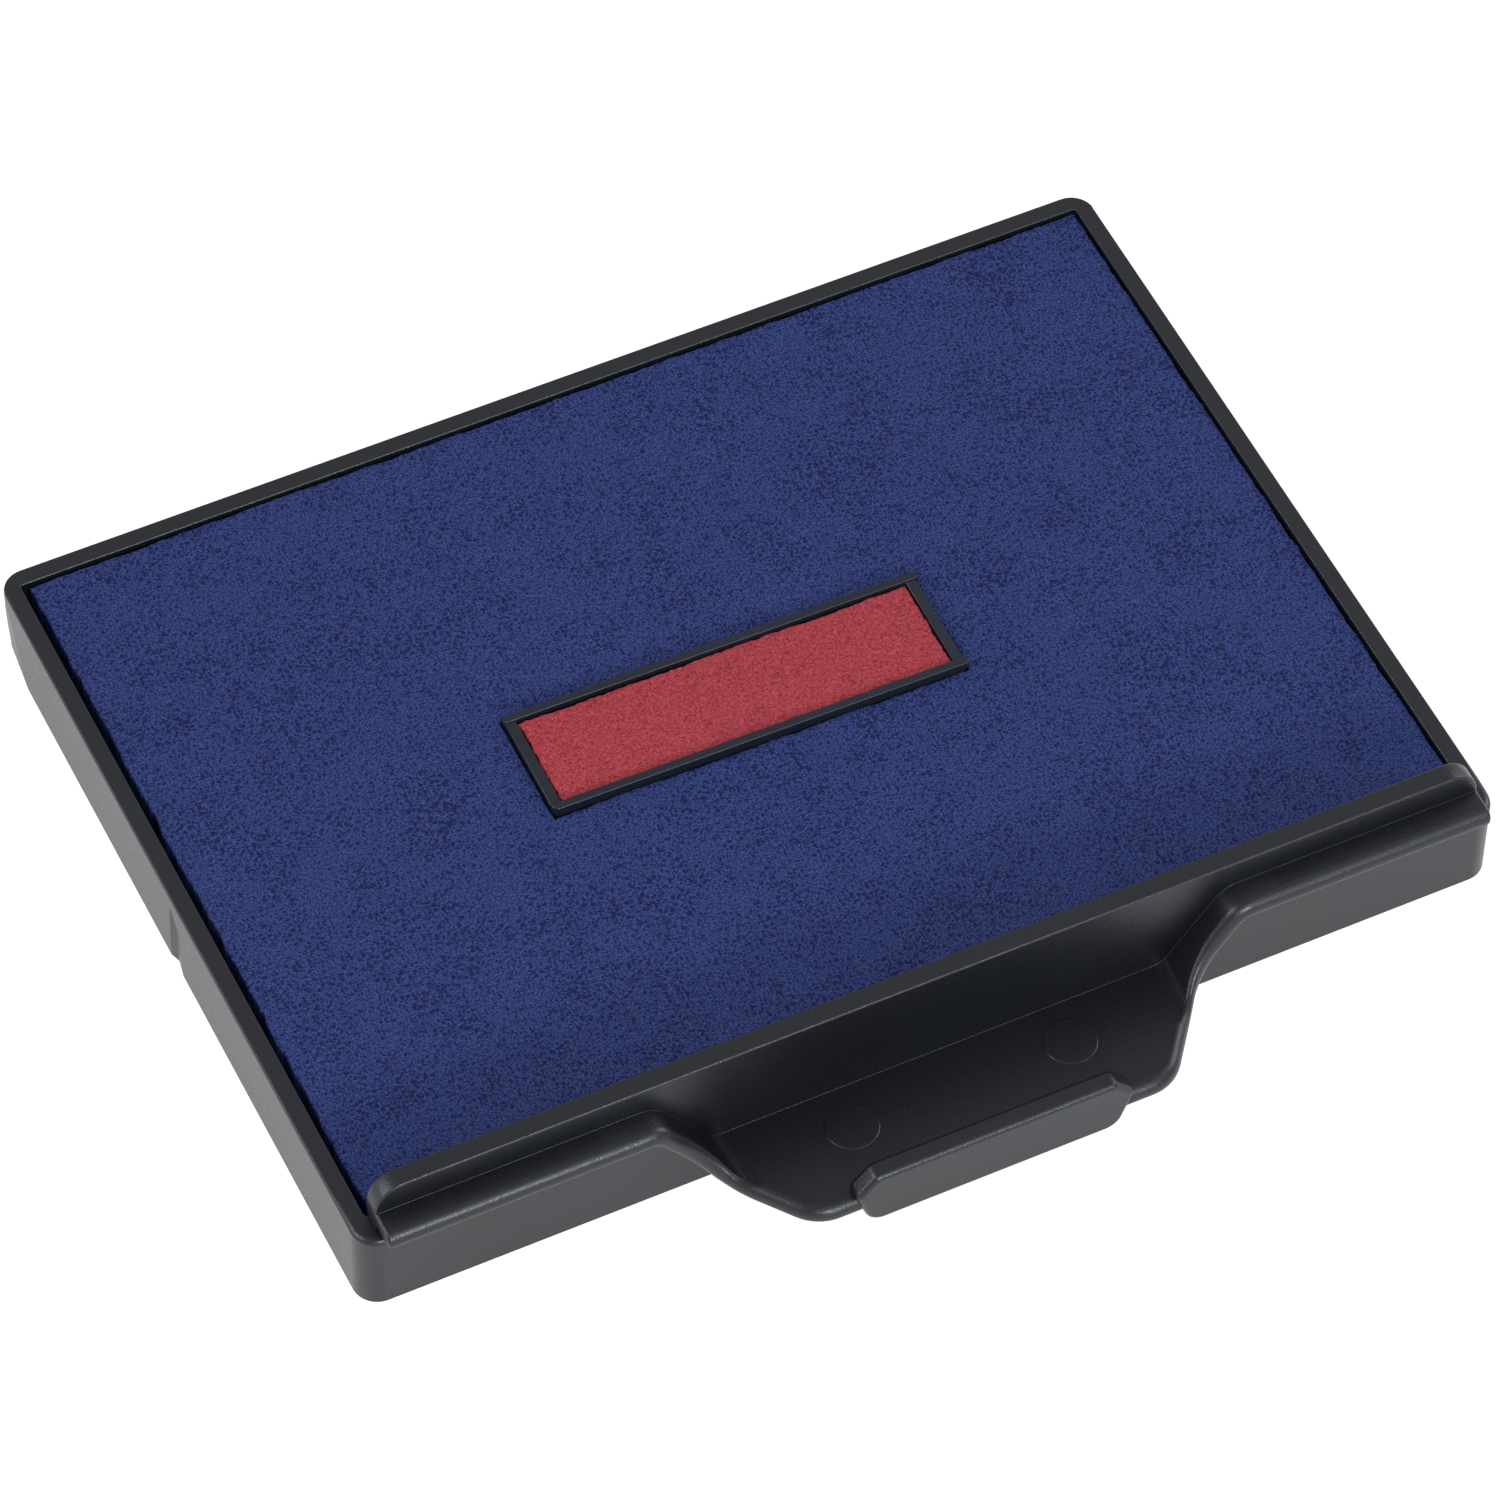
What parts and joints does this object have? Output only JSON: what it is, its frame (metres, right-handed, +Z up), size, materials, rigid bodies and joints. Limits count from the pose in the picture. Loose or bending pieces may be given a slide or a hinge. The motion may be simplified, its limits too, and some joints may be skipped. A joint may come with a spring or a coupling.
{
  "type": "stamp ink pad",
  "caption": "Shallow black tray with a wide blue text pad, a small red date pad in its own cup, and a front ridge with finger tab for pulling the cartridge out.",
  "frame": {"origin": "middle of the tray's flat underside, halfway between its side walls and between its front and back walls, grip left out", "axes": "+X to the right along the long side, +Y to the back, the way the cartridge slides in, +Z up from the underside to the pads"},
  "size_m": [0.08, 0.0663, 0.0105],
  "materials": {
    "tray_plastic": "fine spark-eroded grain, satin black",
    "grip_plastic": "fine spark-eroded grain, satin black",
    "cup_plastic": "smooth satin black, slightly ink-stained",
    "blue_foam": "open-cell printing foam soaked with blue ink",
    "red_foam": "open-cell printing foam soaked with red ink",
    "blue_felt": "dense wet felt",
    "red_felt": "dense wet felt"
  },
  "bodies": {
    "root": {"tray": "tray_plastic", "front_grip": "grip_plastic", "blue_pad": "blue_foam", "blue_felt": "blue_felt", "date_cup": "cup_plastic", "red_pad": "red_foam", "red_felt": "red_felt"}
  },
  "joints": []
}
